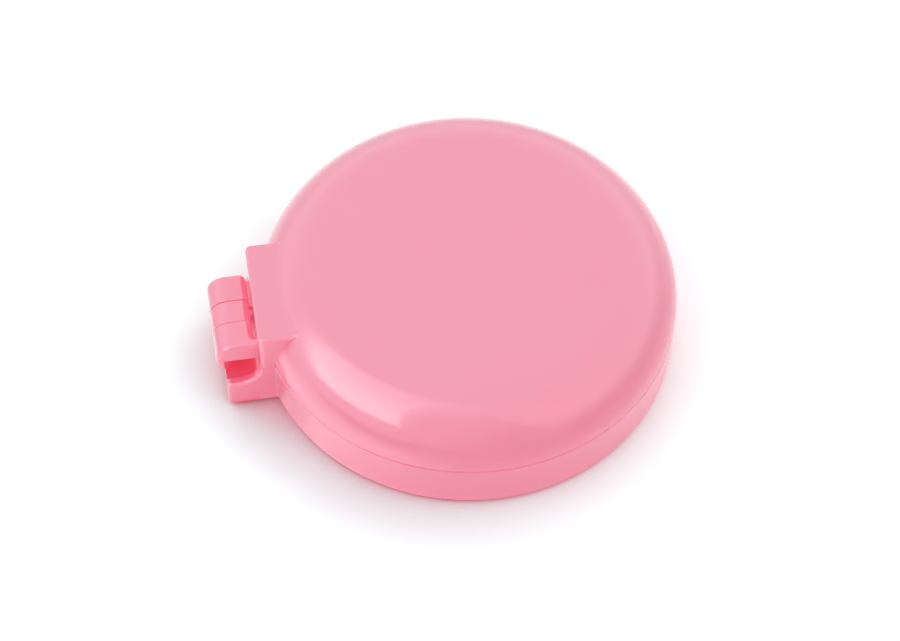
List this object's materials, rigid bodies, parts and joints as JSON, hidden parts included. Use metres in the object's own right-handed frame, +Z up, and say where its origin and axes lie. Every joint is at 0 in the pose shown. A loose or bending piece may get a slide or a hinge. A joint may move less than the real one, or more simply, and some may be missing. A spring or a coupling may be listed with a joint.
{
  "type": "bobbin box",
  "caption": "Round flat plastic box for sewing machine bobbins: a domed lid hinged to a base, with a pegged tray inside and a foam pad under the lid.",
  "frame": {"origin": "middle of the base's flat underside, on the axis of the round shells", "axes": "+Z up through the lid, +X from the hinge toward the opening edge, Y along the hinge pin"},
  "size_m": [0.078, 0.07, 0.0196],
  "materials": {
    "pink_shell": "gloss",
    "pin_steel": "ground",
    "tray_plastic": "satin",
    "pad_foam": "foam"
  },
  "bodies": {
    "base": {"base_shell": "pink_shell", "bobbin_tray": "tray_plastic"},
    "lid": {"lid_shell": "pink_shell", "lid_pad": "pad_foam", "hinge_pin": "pin_steel"}
  },
  "joints": [
    {"name": "lid_hinge", "type": "hinge", "parent": "base", "child": "lid", "pos_m": [-0.0398, 0, 0.0098], "axis": [0, -1, 0], "range_deg": [0, 180]}
  ]
}
